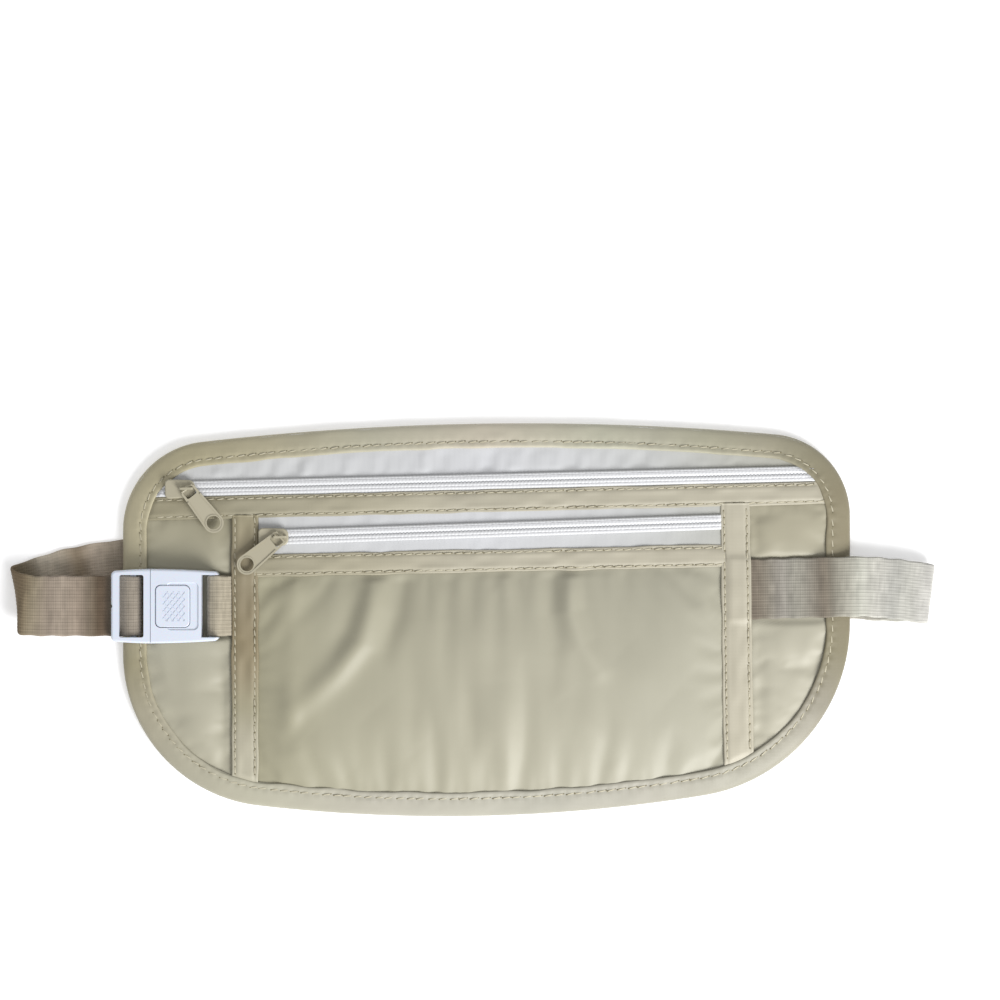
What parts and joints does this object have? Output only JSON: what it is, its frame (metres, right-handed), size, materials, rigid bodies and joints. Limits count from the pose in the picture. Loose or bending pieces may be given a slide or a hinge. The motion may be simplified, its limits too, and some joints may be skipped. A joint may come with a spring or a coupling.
{
  "type": "money belt",
  "caption": "Flat nylon waist pouch with a bound rim, stacked zipped pockets, an elastic waist strap and a press-release side buckle.",
  "frame": {"origin": "middle of the laid-out belt, on the flat underside of the strap's back run, which is the lowest plane", "axes": "+X along the pouch towards the sewn end of the strap, +Y towards the pouch's top edge, +Z out of the pouch's front"},
  "size_m": [0.3318, 0.1418, 0.0133],
  "materials": {
    "nylon_cloth": "satin",
    "binding_cloth": "satin",
    "zip_tape": "matte",
    "zip_coil": "satin",
    "painted_slider": "gloss",
    "buckle_plastic": "satin",
    "elastic_webbing": "matte",
    "flat_webbing": "matte"
  },
  "bodies": {
    "pouch": {"back_panel": "nylon_cloth", "main_panel": "nylon_cloth", "front_pocket_panel": "nylon_cloth", "edge_binding": "binding_cloth", "upper_zip_band": "binding_cloth", "lower_zip_band": "binding_cloth", "left_cover_strip": "binding_cloth", "right_cover_strip": "binding_cloth", "upper_zip_tape_upper": "zip_tape", "upper_zip_tape_lower": "zip_tape", "lower_zip_tape_upper": "zip_tape", "lower_zip_tape_lower": "zip_tape", "upper_zip_coil_upper": "zip_coil", "upper_zip_coil_lower": "zip_coil", "lower_zip_coil_upper": "zip_coil", "lower_zip_coil_lower": "zip_coil", "buckle_female": "buckle_plastic", "waist_strap": "elastic_webbing", "anchor_webbing": "flat_webbing"},
    "upper_slider": {"upper_slider_body": "painted_slider"},
    "upper_pull": {"upper_pull_tab": "painted_slider"},
    "lower_slider": {"lower_slider_body": "painted_slider"},
    "lower_pull": {"lower_pull_tab": "painted_slider"},
    "buckle_male_half": {"buckle_male": "buckle_plastic"},
    "press_pad": {"release_tongue": "buckle_plastic"}
  },
  "joints": [
    {"name": "upper_zip_slide", "type": "slide", "parent": "pouch", "child": "upper_slider", "axis": [0.9997, 0.0244, 0], "range_m": [0, 0.2165]},
    {"name": "upper_pull_swing", "type": "hinge", "parent": "upper_slider", "child": "upper_pull", "pos_m": [-0.10225, 0.04727, 0.0091], "axis": [-0.788, -0.6157, 0], "range_deg": [0, 105]},
    {"name": "lower_zip_slide", "type": "slide", "parent": "pouch", "child": "lower_slider", "axis": [0.9994, 0.0342, 0], "range_m": [0, 0.15]},
    {"name": "lower_pull_swing", "type": "hinge", "parent": "lower_slider", "child": "lower_pull", "pos_m": [-0.06865, 0.02987, 0.0091], "axis": [-0.6334, 0.7738, 0], "range_deg": [0, 105]},
    {"name": "buckle_release", "type": "slide", "parent": "pouch", "child": "buckle_male_half", "axis": [-1, 0, 0], "range_m": [0, 0.024], "deforming": ["waist_strap", "release_tongue"]},
    {"name": "button_press", "type": "slide", "parent": "buckle_male_half", "child": "press_pad", "axis": [0, 0, -1], "range_m": [0, 0.0016], "stiffness_N_per_m": 3000}
  ]
}
